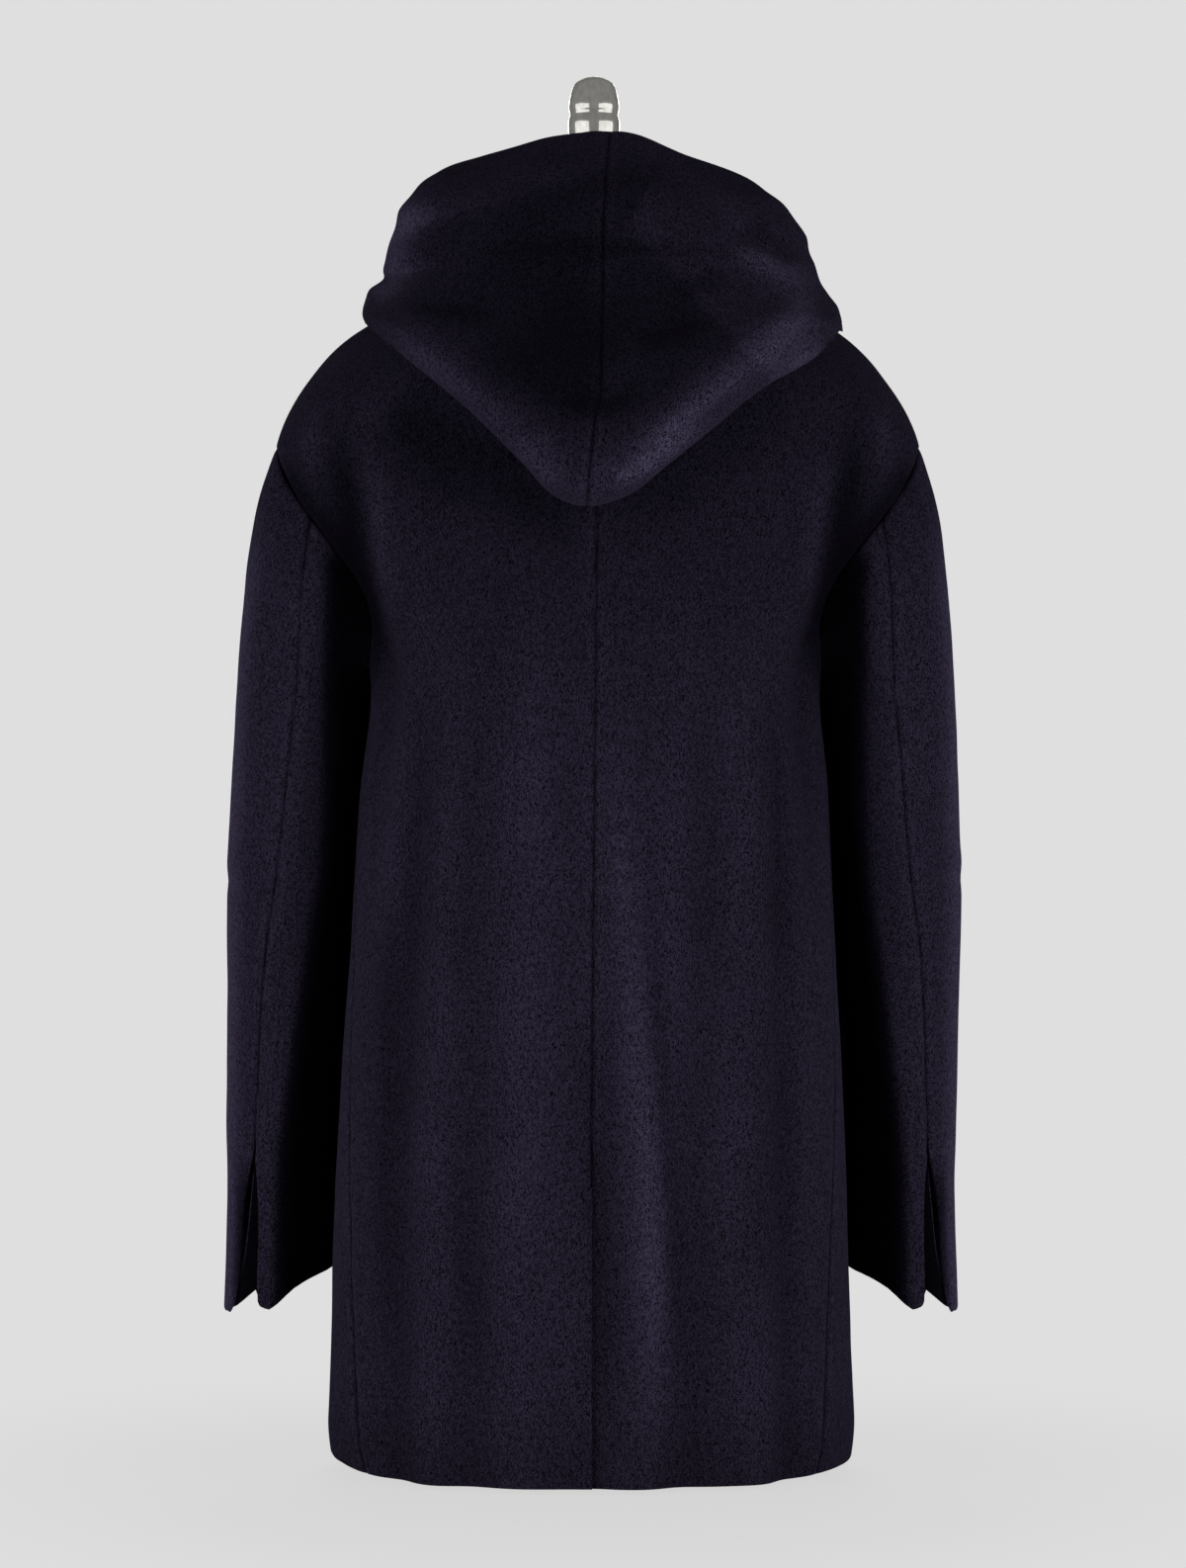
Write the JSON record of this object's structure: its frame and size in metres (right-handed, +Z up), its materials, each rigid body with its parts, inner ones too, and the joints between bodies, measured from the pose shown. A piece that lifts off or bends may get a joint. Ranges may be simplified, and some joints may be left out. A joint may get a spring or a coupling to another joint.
{
  "type": "hooded overcoat on a dress form",
  "caption": "Thigh-length wool overcoat with a folded-down hood and open cuff vents, standing on a plain limbless dress form with a chrome neck cap",
  "frame": {"origin": "The middle of the stand base's flat underside, which rests on the floor", "axes": "+Z is up. The wearer faces -Y, so the coat's back faces +Y. +X is the wearer's left"},
  "size_m": [0.5352, 0.2912, 1.012],
  "materials": {
    "wool": "short brushed wool pile, dark navy, matt with a faint nap sheen",
    "horn": "dark horn-like button, satin",
    "form_cloth": "plain linen cover, matt",
    "chrome": "polished chrome with faint brushing",
    "stand_paint": "dark satin paint on steel"
  },
  "bodies": {
    "root": {"back_left": "wool", "back_right": "wool", "front_left": "wool", "front_right": "wool", "top_sleeve_left": "wool", "top_sleeve_right": "wool", "under_sleeve_left": "wool", "under_sleeve_right": "wool", "hood_left": "wool", "hood_right": "wool", "button_1": "horn", "button_2": "horn", "button_3": "horn", "button_4": "horn", "form_torso": "form_cloth", "neck_cap": "chrome", "pole": "stand_paint", "base": "stand_paint"}
  },
  "joints": []
}
